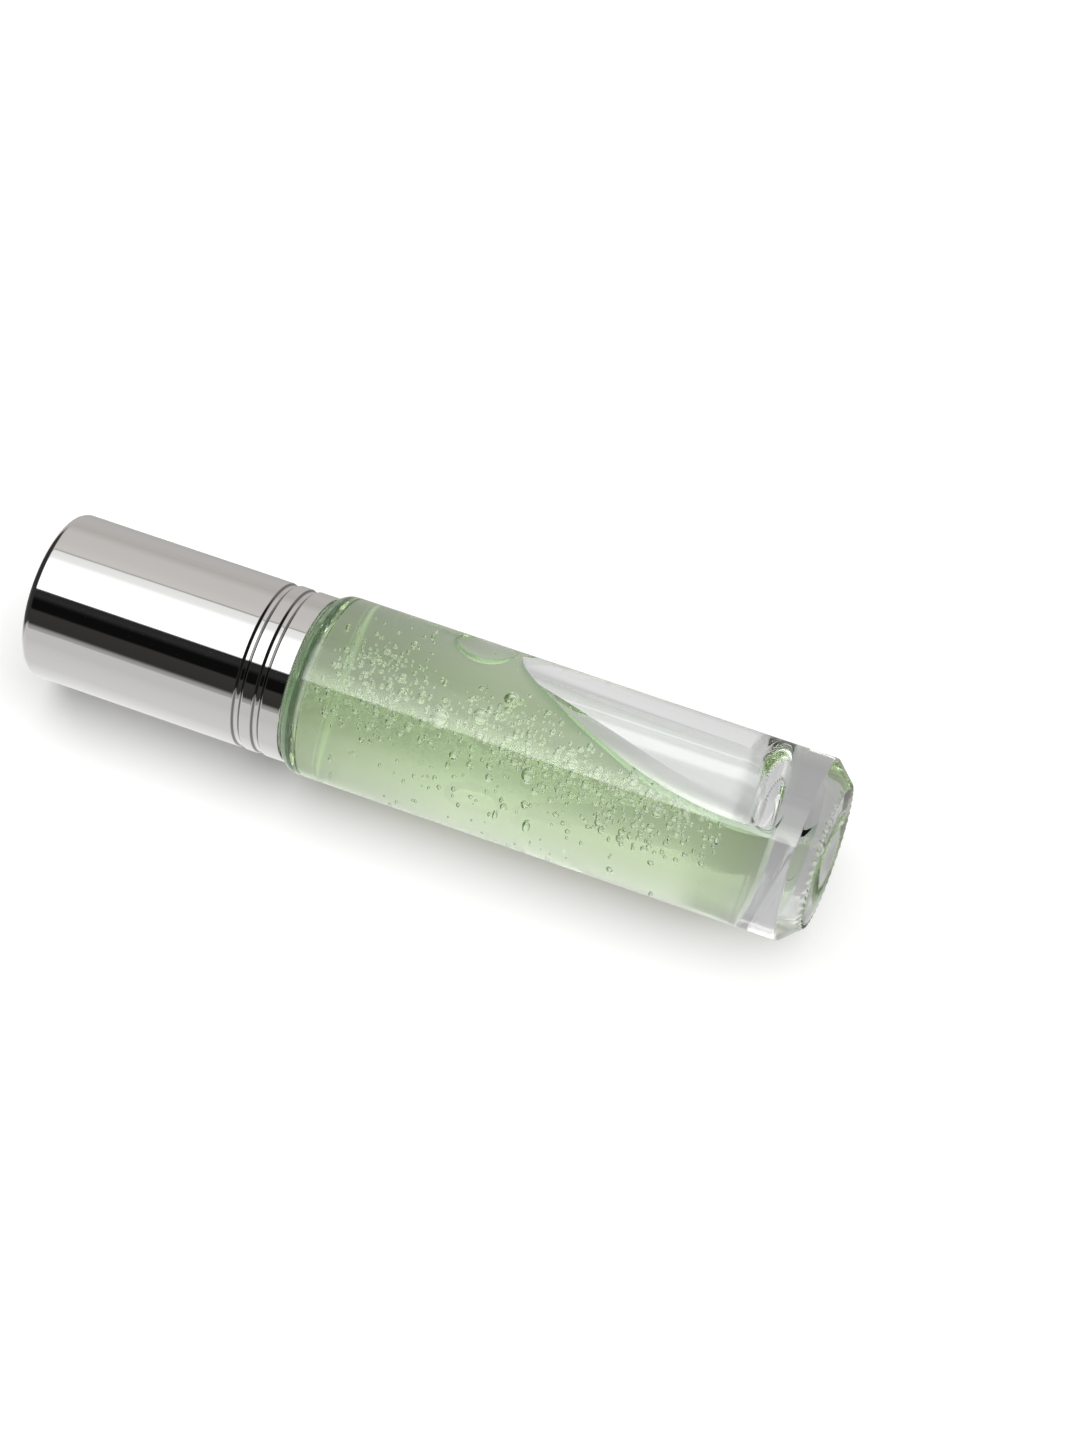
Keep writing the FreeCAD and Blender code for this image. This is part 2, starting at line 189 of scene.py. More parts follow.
# A turned piece has this many columns of faces, and those within the pocket's half share follow its shore
COLUMNS = 384
CAP_COLUMNS = 192
WEDGES = 16
POCKET_SHARE = math.radians(60)

# Distances that count as none, for points in millimetres and for the seams and slivers of a mesh in metres
NEAR = 0.01
SEAM_GAP = 1e-7
SLIVER = 2e-6
SHARP_EDGE = math.radians(40)


def laid(radius, height, angle):
    """Where a point lies in the frame, from its radius and height in millimetres and its angle."""
    across = radius * MM
    return Vector((BASE_X - height * MM, across * math.sin(angle), AXIS_Z + across * math.cos(angle)))


def upright(point):
    """The radius and height in millimetres, and the angle, of a point in the frame."""
    y, z = point.y, point.z - AXIS_Z
    return math.hypot(y, z) / MM, (BASE_X - point.x) / MM, math.atan2(y, z)


def smooth_step(value, low, high):
    """Goes from 0 to 1 as a value goes from low to high, with a soft start and end."""
    share = min(max((value - low) / (high - low), 0.0), 1.0)
    return share * share * (3 - 2 * share)


def line(start, end, count=1):
    """Points from start towards end, in equal steps, without the end."""
    return [tuple(a + (b - a) * i / count for a, b in zip(start, end)) for i in range(count)]


def arc(centre, radius, start, end, count):
    """Points on an arc of radius and height, with both ends. Angles are in degrees from straight outwards."""
    points = []
    for i in range(count + 1):
        angle = math.radians(start + (end - start) * i / count)
        points.append((centre[0] + radius * math.cos(angle), centre[1] + radius * math.sin(angle)))
    return points


def turned(profile, start_angle=0.0, columns=COLUMNS):
    """A bmesh of a profile of radii and heights, spun about the axis as one wedge and copied round."""
    bm = bmesh.new()
    verts = [bm.verts.new(laid(radius, height, start_angle)) for radius, height in profile]
    edges = [bm.edges.new(pair) for pair in zip(verts, verts[1:])]
    centre = Vector((0, 0, AXIS_Z))
    wedge_angle = TURN / WEDGES
    bmesh.ops.spin(
        bm, geom=verts + edges, cent=centre, axis=(1, 0, 0), angle=wedge_angle, steps=columns // WEDGES
    )
    wedge = bm.verts[:] + bm.edges[:] + bm.faces[:]
    for copy in range(1, WEDGES):
        made = bmesh.ops.duplicate(bm, geom=wedge)["geom"]
        moved = [item for item in made if isinstance(item, bmesh.types.BMVert)]
        bmesh.ops.rotate(bm, verts=moved, cent=centre, matrix=Matrix.Rotation(copy * wedge_angle, 3, "X"))
    bmesh.ops.remove_doubles(bm, verts=bm.verts, dist=SEAM_GAP)
    return bm


def tidy(bm):
    """Closes collapsed columns, drops what is left of them and points the faces outwards."""
    bmesh.ops.remove_doubles(bm, verts=bm.verts, dist=SLIVER)
    bmesh.ops.dissolve_degenerate(bm, edges=bm.edges, dist=SLIVER)
    bmesh.ops.recalc_face_normals(bm, faces=bm.faces)


def to_piece(bm, name, body, node, materials):
    """Makes the bmesh a smooth-shaded piece that rides on a body and stands for a CAD node."""
    for face in bm.faces:
        face.smooth = True
    for edge in bm.edges:
        edge.smooth = edge.calc_face_angle(0.0) < SHARP_EDGE
    mesh = bpy.data.meshes.new(name)
    bm.to_mesh(mesh)
    bm.free()
    for material in materials:
        mesh.materials.append(material)
    piece = bpy.data.objects.new(name, mesh)
    bpy.context.scene.collection.objects.link(piece)
    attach(piece, body)
    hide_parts(node)


# Nodes


def feed(tree, value, socket):
    """Gives a socket a plain value, or feeds it from another node's socket."""
    if isinstance(value, bpy.types.NodeSocket):
        tree.links.new(value, socket)
    else:
        socket.default_value = value


def attribute(tree, name):
    """A value that the piece's own mesh holds."""
    node = tree.nodes.new("ShaderNodeAttribute")
    node.attribute_name = name
    return node.outputs["Fac"]


def from_behind(tree):
    """1 where the ray meets a face from its inner side, and 0 elsewhere."""
    return tree.nodes.new("ShaderNodeNewGeometry").outputs["Backfacing"]


def split(tree, vector):
    """The three parts of a vector."""
    node = tree.nodes.new("ShaderNodeSeparateXYZ")
    tree.links.new(vector, node.inputs["Vector"])
    return node.outputs["X"], node.outputs["Y"], node.outputs["Z"]


def reckon(tree, operation, first, second=0.0, clamp=False):
    """One step of arithmetic on two values."""
    node = tree.nodes.new("ShaderNodeMath")
    node.operation = operation
    node.use_clamp = clamp
    feed(tree, first, node.inputs[0])
    feed(tree, second, node.inputs[1])
    return node.outputs["Value"]


def spread(tree, value, low, high, start=0.0, end=1.0):
    """Goes evenly from start to end as a value goes from low to high, and stays there beyond them."""
    node = tree.nodes.new("ShaderNodeMapRange")
    feed(tree, value, node.inputs["Value"])
    for name, limit in (("From Min", low), ("From Max", high), ("To Min", start), ("To Max", end)):
        feed(tree, limit, node.inputs[name])
    return node.outputs["Result"]


def mix_colours(tree, share, first, second):
    """Goes from the first colour to the second with a share from 0 to 1."""
    node = tree.nodes.new("ShaderNodeMix")
    node.data_type = "RGBA"
    feed(tree, share, node.inputs["Factor"])
    feed(tree, first, node.inputs["A"])
    feed(tree, second, node.inputs["B"])
    return node.outputs["Result"]


def mix_shaders(tree, share, first, second):
    """Goes from the first shader to the second with a share from 0 to 1."""
    node = tree.nodes.new("ShaderNodeMixShader")
    feed(tree, share, node.inputs["Fac"])
    feed(tree, first, node.inputs[1])
    feed(tree, second, node.inputs[2])
    return node.outputs["Shader"]


def ramp_between(tree, value, stops):
    """A colour ramp over a value from 0 to 1."""
    node = tree.nodes.new("ShaderNodeValToRGB")
    ramp = node.color_ramp
    while len(ramp.elements) < len(stops):
        ramp.elements.new(1.0)
    for element, (position, colour) in zip(ramp.elements, stops):
        element.position = position
        element.color = colour
    feed(tree, value, node.inputs["Fac"])
    return node.outputs["Color"]


def principled(tree, **values):
    """A Principled shader with plain or fed values, by the names of its sockets."""
    node = tree.nodes.new("ShaderNodeBsdfPrincipled")
    for name, value in values.items():
        feed(tree, value, node.inputs[name.replace("_", " ")])
    return node.outputs["BSDF"]


def new_material(name):
    """A material without nodes, and its node tree."""
    material = bpy.data.materials.new(name)
    material.use_nodes = True
    material.node_tree.nodes.clear()
    return material, material.node_tree


def put_out(tree, surface):
    """The output of a material, with its surface."""
    output = tree.nodes.new("ShaderNodeOutputMaterial")
    tree.links.new(surface, output.inputs["Surface"])
    return output


# Materials

POLISHED_CLEAR = {"Roughness": 0.0, "Transmission_Weight": 1.0}
MARK_DEPTH = 0.1
MARK_DETAIL = 4.0
MARK_RANGE = (0.3, 0.7)


def see_through(tree, surface, shade):
    """Glass for the eye that is plainly clear to lamps and to light from walls, so that they pass it."""
    path = tree.nodes.new("ShaderNodeLightPath")
    plain = reckon(tree, "MAXIMUM", path.outputs["Is Shadow Ray"], path.outputs["Is Diffuse Ray"])
    clear = tree.nodes.new("ShaderNodeBsdfTransparent")
    clear.inputs["Color"].default_value = shade
    return put_out(tree, mix_shaders(tree, plain, surface, clear.outputs["BSDF"]))


def wetted_material():
    """Glass where the gel wets it.

    At the ends of the cavity, the gel's edge doesn't show to light from the glass. Along the shores of the
    pocket, where the gel stands thick on the wall, the glass has painted shade of a deeper green.
    """
    material, tree = new_material("wetted_glass")
    from_glass = from_behind(tree)
    # Painted shade: the glass is deeper green along the pocket's shores
    painted_shore_shade = reckon(tree, "MULTIPLY", attribute(tree, "shore"), from_glass)
    tint = mix_colours(tree, painted_shore_shade, CLEAR_TINT, SHORE_PAINTED_SHADE)
    bent = principled(tree, Base_Color=tint, IOR=GLASS_IOR / GEL_IOR, **POLISHED_CLEAR)
    straight = principled(tree, Base_Color=tint, IOR=1.0, **POLISHED_CLEAR)
    at_end = reckon(tree, "MULTIPLY", attribute(tree, "cavity_end"), from_glass)
    see_through(tree, mix_shaders(tree, at_end, bent, straight), GLASS_SHADE)
    return material


def clear_material():
    """Clear glass with painted shade at the shoulder: dark green where the eye looks along the gel through
    its rounding, with a painted glow and a painted pale highlight line.
    """
    material, tree = new_material("clear_glass")
    # Painted shade and glow on the shoulder, seen from outside, and a painted pale highlight line below it
    from_outside = reckon(tree, "SUBTRACT", attribute(tree, "shoulder"), from_behind(tree), clamp=True)
    tint = mix_colours(tree, from_outside, CLEAR_TINT, SHOULDER_PAINTED_SHADE)
    painted_glow = mix_colours(tree, from_outside, BLACK, SHOULDER_PAINTED_GLOW)
    painted_glow_and_highlight = mix_colours(tree, attribute(tree, "shoulder_painted_highlight"), painted_glow, SHOULDER_PAINTED_HIGHLIGHT)
    glass = principled(
        tree, Base_Color=tint, IOR=GLASS_IOR, Emission_Color=painted_glow_and_highlight, Emission_Strength=1.0, **POLISHED_CLEAR
    )
    see_through(tree, glass, GLASS_SHADE)
    return material


def gel_material():
    """Gel that bends light at its free surface alone, because the glass that it wets bends it at the wall.

    Its top under the shoulder is free as seen from within the gel, and clear from above.
    """
    material, tree = new_material("green_gel")
    wall = principled(tree, Base_Color=WHITE, IOR=1.0, **POLISHED_CLEAR)
    free = principled(tree, Base_Color=WHITE, IOR=GEL_IOR, **POLISHED_CLEAR)
    top_from_within = reckon(tree, "MULTIPLY", attribute(tree, "gel_top"), from_behind(tree))
    is_free = reckon(tree, "MAXIMUM", attribute(tree, "free_surface"), top_from_within)
    output = see_through(tree, mix_shaders(tree, is_free, wall, free), GEL_SHADE)
    volume = tree.nodes.new("ShaderNodeVolumeAbsorption")
    volume.inputs["Color"].default_value = GEL_COLOUR
    volume.inputs["Density"].default_value = GEL_DENSITY
    tree.links.new(volume.outputs["Volume"], output.inputs["Volume"])
    return material


def marks_group():
    """Faint smudges and drawing lines that run along the bottle, for polished and moulded surfaces."""
    group = bpy.data.node_groups.new("handling_marks", "ShaderNodeTree")
    for name, default in (("Scale", 300.0), ("Stretch", 0.1), ("Least", 0.05), ("Most", 0.1)):
        socket = group.interface.new_socket(name, in_out="INPUT", socket_type="NodeSocketFloat")
        socket.default_value = default
    for name in ("Roughness", "Height"):
        group.interface.new_socket(name, in_out="OUTPUT", socket_type="NodeSocketFloat")
    inputs = group.nodes.new("NodeGroupInput").outputs
    outputs = group.nodes.new("NodeGroupOutput").inputs
    place = group.nodes.new("ShaderNodeTexCoord")
    stretch = group.nodes.new("ShaderNodeCombineXYZ")
    for name, value in (("X", inputs["Stretch"]), ("Y", 1.0), ("Z", 1.0)):
        feed(group, value, stretch.inputs[name])
    squeeze = group.nodes.new("ShaderNodeVectorMath")
    squeeze.operation = "MULTIPLY"
    feed(group, place.outputs["Object"], squeeze.inputs[0])
    feed(group, stretch.outputs["Vector"], squeeze.inputs[1])
    noise = group.nodes.new("ShaderNodeTexNoise")
    vector = squeeze.outputs["Vector"]
    for name, value in (("Vector", vector), ("Scale", inputs["Scale"]), ("Detail", MARK_DETAIL)):
        feed(group, value, noise.inputs[name])
    gloss = spread(group, noise.outputs["Fac"], *MARK_RANGE, inputs["Least"], inputs["Most"])
    feed(group, gloss, outputs["Roughness"])
    feed(group, noise.outputs["Fac"], outputs["Height"])
    return group


MARKS = marks_group()


def marked_material(name, colour, scale, stretch, roughness, bump, painted_shade=None, **finish):
    """An opaque finish with handling marks in its gloss and, faintly, in its surface.

    An attribute of the mesh and a colour may be given; that colour is painted as shade where the attribute is
    1.
    """
    material, tree = new_material(name)
    marks = tree.nodes.new("ShaderNodeGroup")
    marks.node_tree = MARKS
    least, most = roughness
    for socket, value in (("Scale", scale), ("Stretch", stretch), ("Least", least), ("Most", most)):
        feed(tree, value, marks.inputs[socket])
    relief = tree.nodes.new("ShaderNodeBump")
    height = marks.outputs["Height"]
    for socket, value in (("Strength", bump), ("Distance", MARK_DEPTH * MM), ("Height", height)):
        feed(tree, value, relief.inputs[socket])
    # Painted shade where the mesh's attribute says
    if painted_shade:
        colour = mix_colours(tree, attribute(tree, painted_shade[0]), colour, painted_shade[1])
    finish.update(Base_Color=colour, Roughness=marks.outputs["Roughness"], Normal=relief.outputs["Normal"])
    put_out(tree, principled(tree, **finish))
    return material


CLEAR_GLASS = clear_material()
WETTED_GLASS = wetted_material()
GREEN_GEL = gel_material()
# The cap's metal has painted shade on the flanks of its grooves
CAP_METAL = marked_material(
    "cap_metal", CAP_BRIGHT, 900.0, 0.03, (0.02, 0.07), 0.04, painted_shade=("painted_flank_shade", GROOVE_PAINTED_SHADE), Metallic=1.0
)
BALL_STEEL = marked_material(
    "ball_steel", (0.78, 0.79, 0.80, 1), 700.0, 1.0, (0.06, 0.16), 0.02, Metallic=1.0
)
HOUSING_PLASTIC = marked_material(
    "housing_plastic", (0.88, 0.89, 0.88, 1), 900.0, 1.0, (0.32, 0.45), 0.06, Subsurface_Weight=0.15
)
LINER_PLASTIC = marked_material(
    "liner_plastic", (0.90, 0.90, 0.89, 1), 900.0, 1.0, (0.35, 0.5), 0.06, Subsurface_Weight=0.1
)
PAD_FOAM = marked_material("pad_foam", (0.93, 0.92, 0.90, 1), 2500.0, 1.0, (0.75, 0.95), 0.8)


# Gel surface and its shore on the glass


def pocket_surface(height):
    """How far the gel's free surface lies from the axis towards the pocket, at a height."""
    run = POCKET_TIP - POCKET_BEND
    climb = CAVITY_RADIUS - POCKET_LEVEL
    slope = math.hypot(run, climb)
    tangent = POCKET_ROUND * (slope - run) / climb
    foot = POCKET_BEND - tangent
    if height < foot:
        return POCKET_LEVEL
    if height < POCKET_BEND + tangent * run / slope:
        return POCKET_LEVEL + POCKET_ROUND - math.sqrt(POCKET_ROUND**2 - (height - foot) ** 2)
    return POCKET_LEVEL + (height - POCKET_BEND) * climb / run


def bubble_reach(height):
    """The share of its full width that the flat bubble on the glass has at a height, from 0 to 1."""
    along = (height - BUBBLE_PLACE) / BUBBLE_HALF_LENGTH
    return math.sqrt(max(1 - along * along, 0.0))


def meniscus_climb(radius, height):
    """How far the gel climbs the wall at its shore, which is less where little of the ring is dry."""
    return min(MENISCUS_CLIMB, MENISCUS_SHARE * (radius - pocket_surface(height)))


def shore_angle(radius, height):
    """Half the angle over which a ring of the cavity's wall is dry. Zero where the gel covers it all."""
    if bubble_reach(height) > 0:
        return bubble_reach(height) * BUBBLE_HALF_WIDTH / CAVITY_RADIUS
    if height > POCKET_TIP or radius <= pocket_surface(height):
        return 0.0
    return math.acos(pocket_surface(height) / radius)


def from_pocket(angle):
    """An angle about the axis as an offset from the middle of the pocket, up to half a turn either way."""
    return math.remainder(angle - POCKET_LEAN, TURN)


def shore_columns(angle, radius, height):
    """Moves a column's angle, so that the pocket's share of columns spans just the dry part of the ring."""
    offset = from_pocket(angle)
    shore = shore_angle(radius, height)
    size = abs(offset)
    if size <= POCKET_SHARE:
        size = size * shore / POCKET_SHARE
    else:
        size = shore + (size - POCKET_SHARE) * (math.pi - shore) / (math.pi - POCKET_SHARE)
    return POCKET_LEAN + math.copysign(size, offset)


def in_pocket_share(point):
    """True if a point of a ring lies among the columns that the pocket takes."""
    return abs(from_pocket(upright(point)[2])) < POCKET_SHARE


def cavity_profile(inset):
    """The cavity's outline from the edge of its ceiling to the edge of its floor, drawn in by an inset."""
    wall = CAVITY_RADIUS - inset
    corner = CAVITY_ROUND - inset
    bend = CAVITY_FLOOR + inset + corner
    ceiling = CEILING - inset
    top_corner = CEILING_ROUND - inset
    bubble_tip = BUBBLE_PLACE + BUBBLE_HALF_LENGTH
    below_bubble = BUBBLE_PLACE - BUBBLE_HALF_LENGTH - RING_GAP / 2
    bubble_rings = arc((BUBBLE_PLACE, 0), BUBBLE_HALF_LENGTH, 0, 180, 16)
    return (
        arc((wall - top_corner, ceiling - top_corner), top_corner, 90, 0, 8)
        + line((wall, ceiling - top_corner), (wall, bubble_tip), 2)[1:]
        + [(wall, height) for height, _ in bubble_rings]
        + line((wall, below_bubble), (wall, bend), 48)
        + arc((wall - corner, bend), corner, 0, -90, 24)
    )


# Glass bottle


def thread_rise(height, angle):
    """How far the neck's thread stands out at a place on the neck."""
    rise = 0.0
    end = THREAD_TURNS * TURN
    for turns in range(math.ceil(THREAD_TURNS)):
        along = (angle % TURN) + turns * TURN
        ends = smooth_step(along, 0, THREAD_RUNOUT) * (1 - smooth_step(along, end - THREAD_RUNOUT, end))
        off = abs(height - THREAD_FOOT - THREAD_PITCH * along / TURN)
        rise = max(rise, ends * THREAD_RISE * (1 - smooth_step(off, THREAD_HALF_CREST, THREAD_HALF_ROOT)))
    return rise


def knurl_dip(radius, angle):
    """How far a notch of the knurled rim goes up into the base at a place on it."""
    notch = 0.5 + 0.5 * math.cos(angle * KNURL_COUNT)
    inner = smooth_step(radius, KNURL_INNER - KNURL_FADE, KNURL_INNER + KNURL_FADE / 2)
    outer = smooth_step(radius, KNURL_OUTER - KNURL_FADE, KNURL_OUTER + KNURL_FADE)
    return KNURL_DEPTH * inner * notch * (1 - outer)


def glass_profile():
    """The glass from the middle of its base over body, shoulder and neck, and down to the cavity's floor."""
    dome = (PUSHUP_RADIUS**2 + PUSHUP_DEPTH**2) / (2 * PUSHUP_DEPTH)
    dome_edge = math.degrees(math.acos(PUSHUP_RADIUS / dome))
    heel_angle = math.degrees(math.atan2(HEEL_HEIGHT, BODY_RADIUS - BEARING_RADIUS))
    # Both ends of the chamfered heel are rounded, with the arcs' centres set back along their corners
    low_back = EDGE_ROUND * math.tan(math.radians(heel_angle / 2))
    high_back = EDGE_ROUND * math.tan(math.radians((90 - heel_angle) / 2))
    bearing = BEARING_RADIUS - low_back
    low_edge = arc((bearing, EDGE_ROUND), EDGE_ROUND, -90, heel_angle - 90, 4)
    high_edge = arc((BODY_RADIUS - EDGE_ROUND, HEEL_HEIGHT + high_back), EDGE_ROUND, heel_angle - 90, 0, 4)
    knurl_start = KNURL_INNER - KNURL_FADE
    line_foot = SHOULDER_FOOT - 3 * SHOULDER_LINE_WIDTH
    neck_foot = BODY_HEIGHT + NECK_FILLET
    lip_foot = LIP_HEIGHT - LIP_ROUND
    bore_round = LIP_ROUND / 2
    bore_foot = CEILING + BORE_EDGE
    return (
        arc((0, PUSHUP_DEPTH - dome), dome, 90, dome_edge, 8)
        + line((PUSHUP_RADIUS + RING_GAP, 0), (knurl_start, 0), 2)
        + line((knurl_start, 0), (bearing, 0), 5)
        + low_edge
        + line(low_edge[-1], high_edge[0], 8)[1:]
        + high_edge
        + line((BODY_RADIUS, HEEL_HEIGHT + BODY_START), (BODY_RADIUS, line_foot), 3)
        + line((BODY_RADIUS, line_foot), (BODY_RADIUS, SHOULDER_FOOT), 6)
        + arc((BODY_RADIUS - SHOULDER_ROUND, SHOULDER_FOOT), SHOULDER_ROUND, 0, 90, 16)
        + arc((NECK_RADIUS + NECK_FILLET, neck_foot), NECK_FILLET, 270, 180, 4)
        + line((NECK_RADIUS, neck_foot + RING_GAP), (NECK_RADIUS, lip_foot), 56)
        + arc((NECK_RADIUS - LIP_ROUND, lip_foot), LIP_ROUND, 0, 90, 5)
        + arc((BORE_RADIUS + bore_round, LIP_HEIGHT - bore_round), bore_round, 90, 180, 4)
        + line((BORE_RADIUS, lip_foot), (BORE_RADIUS, bore_foot), 3)
        + arc((BORE_RADIUS + BORE_EDGE, bore_foot), BORE_EDGE, 180, 270, 5)
        + cavity_profile(0.0)
        + line((CAVITY_RADIUS - CAVITY_ROUND, CAVITY_FLOOR), (0, CAVITY_FLOOR), 8)[1:]
        + [(0, CAVITY_FLOOR)]
    )


def in_cavity(radius, height):
    """True on the walls of the cavity."""
    return radius < CAVITY_RADIUS + NEAR and CAVITY_FLOOR - NEAR < height < CEILING + NEAR


def wet_inner_wall(bm):
    """Gives the walls that the gel wets the second material."""
    for face in bm.faces:
        middle = face.calc_center_median()
        radius, height, _ = upright(middle)
        under_gel = height > POCKET_TIP or not in_pocket_share(middle)
        face.material_index = 1 if under_gel and in_cavity(radius, height) else 0


def make_glass_bottle():
    bm = turned(glass_profile(), POCKET_LEAN)
    bmesh.ops.recalc_face_normals(bm, faces=bm.faces)
    wet_inner_wall(bm)
    names = ("shoulder", "shoulder_painted_highlight", "cavity_end", "shore")
    shoulder, pale, end, shore = [bm.verts.layers.float.new(name) for name in names]
    half_line = SHOULDER_LINE_WIDTH / 2
    for vert in bm.verts:
        radius, height, angle = upright(vert.co)
        above_foot = height - SHOULDER_FOOT
        # Masks of the painted shade and of the painted pale highlight line at the shoulder
        if radius > NECK_RADIUS + NECK_FILLET and height < BODY_HEIGHT + NEAR:
            vert[shoulder] = smooth_step(above_foot, 0.0, SHOULDER_FADE)
            vert[pale] = smooth_step(above_foot, -4 * half_line, -half_line)
            vert[pale] *= 1 - smooth_step(above_foot, -half_line, half_line)
        if in_cavity(radius, height):
            from_end = min(CEILING - height, height - CAVITY_FLOOR - CAVITY_ROUND / 2)
            vert[end] = 1 - smooth_step(from_end, END_CORE, END_REACH)
            moved = shore_columns(angle, radius, height)
            dry_half = shore_angle(radius, height)
            # Mask of the painted shade along the shores
            from_shore = radius * (abs(from_pocket(moved)) - dry_half)
            if dry_half > 0 and from_shore > -NEAR:
                vert[shore] = 1 - smooth_step(from_shore, 0.0, SHORE_PAINTED_BAND)
            vert.co = laid(radius, height, moved)
        elif abs(radius - NECK_RADIUS) < NEAR and height > BODY_HEIGHT + NECK_FILLET:
            vert.co = laid(radius + thread_rise(height, angle), height, angle)
        elif height < HEEL_HEIGHT / 2:
            vert.co = laid(radius, height + knurl_dip(radius, angle), angle)
    tidy(bm)
    to_piece(bm, "glass_body", "bottle", "glass_bottle", [CLEAR_GLASS, WETTED_GLASS])


# Gel with its bubbles


def free_surface(radius, height, share):
    """A point of the gel's free surface in the dry part of a ring.

    It is given by its radius and its angle from the pocket's middle. The share runs from -1 to 1 between the
    two shores.
    """
    shore = shore_angle(radius, height)
    reach = bubble_reach(height)
    if reach > 0:
        return radius - BUBBLE_DEPTH * reach * math.sqrt(max(1 - share * share, 0.0)), share * shore
    # The rows of faces crowd towards the shores, where the surface curls up
    half_chord = radius * math.sin(shore)
    from_shore = half_chord * (1 - abs(share)) ** SHORE_CROWDING
    across = half_chord - from_shore
    climb = meniscus_climb(radius, height)
    depth = pocket_surface(height) - climb * (1 - math.exp(-from_shore / MENISCUS_REACH))
    return math.hypot(depth, across), math.copysign(math.atan2(across, depth), share)


def in_gel(radius, height, angle, room):
    """True if a place lies in the gel, with some room to its walls and its free surfaces."""
    if not CAVITY_FLOOR + BUBBLE_END_ROOM < height < CEILING - BUBBLE_END_ROOM:
        return False
    above_bend = min(height - CAVITY_FLOOR - CAVITY_ROUND, 0)
    wall = CAVITY_RADIUS - CAVITY_ROUND + math.sqrt(CAVITY_ROUND**2 - above_bend**2)
    if radius > wall - room:
        return False
    offset = from_pocket(angle)
    towards = radius * math.cos(offset)
    if height < POCKET_TIP + BUBBLE_END_ROOM and towards > pocket_surface(height) - room:
        return False
    near_bubble = bubble_reach(height) > 0 and abs(offset) < BUBBLE_HALF_WIDTH / CAVITY_RADIUS
    return not (near_bubble and radius > CAVITY_RADIUS - BUBBLE_DEPTH - room)


def add_bubble(swarm, middle, size, stretch, lobes):
    """One bubble, stretched, and dented by a slow wave along each axis. Large ones have finer faces."""
    shape = Matrix.Translation(middle) @ Matrix.Diagonal((*(s * MM for s in stretch), 1))
    if size > FINE_BUBBLE:
        sphere = bmesh.ops.create_icosphere(swarm, subdivisions=3, radius=1.0, matrix=shape)
    else:
        sphere = bmesh.ops.create_uvsphere(swarm, u_segments=8, v_segments=6, radius=1.0, matrix=shape)
    for vert in sphere["verts"]:
        out = vert.co - middle
        waves = [math.sin(pace * x / (size * MM) + phase) for x, (pace, phase) in zip(out, lobes)]
        vert.co = middle + out * (1 + BUBBLE_DENT * sum(waves) / 3)


def add_bubbles(bm, free_name):
    """Strews air bubbles through the gel, in swarms. They are holes in it, so their faces point inwards."""
    chance = random.Random(BUBBLE_SEED)
    taken = []
    single = [(height, 0.0, turn, 0.0, 1, size, size) for height, turn, size in LARGE_BUBBLES]
    for height, along, turn, about, count, smallest, largest in (*single, *BUBBLE_SWARMS):
        swarm = bmesh.new()
        free = swarm.faces.layers.float.new(free_name)
        for _ in range(count):
            size = smallest + (largest - smallest) * chance.random() ** BUBBLE_SKEW
            place_height = chance.gauss(height, along)
            place_angle = math.radians(chance.gauss(turn, about))
            depth = BUBBLE_LEAST_DEPTH + size
            depth += min(chance.expovariate(1 / BUBBLE_MEAN_DEPTH), BUBBLE_MOST_DEPTH)
            stretch = [size * chance.uniform(*BUBBLE_STRETCH) for _ in range(3)]
            lobes = [(chance.gauss(0, BUBBLE_WAVES), chance.uniform(0, TURN)) for _ in range(3)]
            radius = CAVITY_RADIUS - depth
            if not in_gel(radius, place_height, place_angle, size + BUBBLE_ROOM):
                continue
            middle = laid(radius, place_height, place_angle)
            if any((middle - other).length < (size + other_size) * MM for other, other_size in taken):
                continue
            taken.append((middle, size))
            add_bubble(swarm, middle, size, stretch, lobes)
        bmesh.ops.reverse_faces(swarm, faces=swarm.faces)
        for face in swarm.faces:
            face[free] = 1.0
        mesh = bpy.data.meshes.new("bubble_swarm")
        swarm.to_mesh(mesh)
        swarm.free()
        bm.from_mesh(mesh)
        bpy.data.meshes.remove(mesh)


def make_gel_fill():
    bm = turned(cavity_profile(GEL_CLEARANCE), POCKET_LEAN)
    free_name = "free_surface"
    free = bm.faces.layers.float.new(free_name)
    top = bm.faces.layers.float.new("gel_top")
    for face in bm.faces:
        face[free] = 1.0 if in_pocket_share(face.calc_center_median()) else 0.0
    for vert in bm.verts:
        radius, height, angle = upright(vert.co)
        share = from_pocket(angle) / POCKET_SHARE
        if abs(share) < 1 and shore_angle(radius, height) > 0:
            radius, offset = free_surface(radius, height, share)
            vert.co = laid(radius, height, POCKET_LEAN + offset)
        else:
            vert.co = laid(radius, height, shore_columns(angle, radius, height))
    tidy(bm)
    ends = bmesh.ops.holes_fill(bm, edges=bm.edges, sides=0)["faces"]
    bmesh.ops.inset_region(bm, faces=ends, thickness=GEL_RIM * MM)
    for face in ends:
        face[free] = 0.0
        face[top] = 1.0 if upright(face.calc_center_median())[1] > POCKET_TIP else 0.0
    bmesh.ops.recalc_face_normals(bm, faces=bm.faces)
    add_bubbles(bm, free_name)
    to_piece(bm, "gel_body", "bottle", "gel_fill", [GREEN_GEL])


# Cap shell


def bead_dip(height):
    """How far the rolled grooves draw the shell in at a height."""
    off = min(abs(height - middle) for middle in BEAD_HEIGHTS)
    return BEAD_DEPTH * (1 - smooth_step(off, BEAD_HALF_FLOOR, BEAD_HALF_MOUTH))


